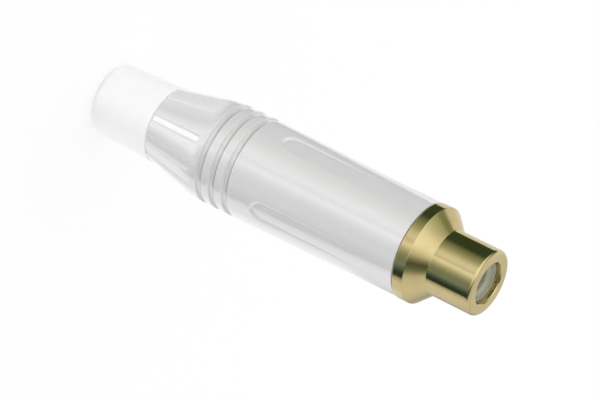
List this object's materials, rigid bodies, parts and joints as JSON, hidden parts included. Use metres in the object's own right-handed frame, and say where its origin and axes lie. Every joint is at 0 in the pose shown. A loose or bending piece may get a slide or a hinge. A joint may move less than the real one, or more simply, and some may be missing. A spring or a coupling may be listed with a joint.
{
  "type": "rca socket",
  "caption": "In-line female RCA socket: gold-plated jack screwed into a fluted die-cast shell, with a jaw chuck and a screw-in cable boot.",
  "frame": {"origin": "centre of the boot's foot, on the surface that the socket stands on", "axes": "+Z along the socket's axis from the boot to the nose; the barrel's plain front between two flutes faces -Y"},
  "size_m": [0.0128, 0.0128, 0.0556],
  "materials": {
    "gold_plate": "polished gold plate over turned brass",
    "ptfe": "milky white, smooth",
    "contact_gold": "gold plate, satin",
    "insulator": "moulded, matt",
    "tinned_brass": "tin plate, dull",
    "liner_film": "thin translucent sleeve",
    "shell_finish": "pearl nickel over die-cast zinc, glossy",
    "chuck_nylon": "moulded nylon, matt",
    "gland_nickel": "nickel plate, satin",
    "boot_white": "soft moulded elastomer, matt white"
  },
  "bodies": {
    "housing": {"shell": "shell_finish"},
    "sleeve": {"liner": "liner_film"},
    "jack": {"socket_body": "gold_plate", "front_insulator": "ptfe", "centre_contact": "contact_gold", "rear_insulator": "insulator", "ground_lug": "tinned_brass"},
    "jaws": {"chuck": "chuck_nylon"},
    "gland": {"gland_nut": "gland_nickel", "boot": "boot_white"}
  },
  "joints": [
    {"name": "sleeve_slide", "type": "slide", "parent": "housing", "child": "sleeve", "axis": [0, 0, 1], "range_m": [0, 0.0045]},
    {"name": "jack_screw", "type": "hinge", "parent": "sleeve", "child": "jack", "pos_m": [0, 0, 0.045], "axis": [0, 0, 1], "range_deg": [0, 2160]},
    {"name": "jaws_slide", "type": "slide", "parent": "housing", "child": "jaws", "axis": [0, 0, -1], "range_m": [0, 0.004]},
    {"name": "boot_screw", "type": "hinge", "parent": "jaws", "child": "gland", "pos_m": [0, 0, 0.005], "axis": [0, 0, -1], "range_deg": [0, 1440]}
  ],
  "couplings": [
    {"joint": "jack_screw", "follows": "sleeve_slide", "rad_per_m": 8377.6},
    {"joint": "boot_screw", "follows": "jaws_slide", "rad_per_m": 6283.2}
  ]
}
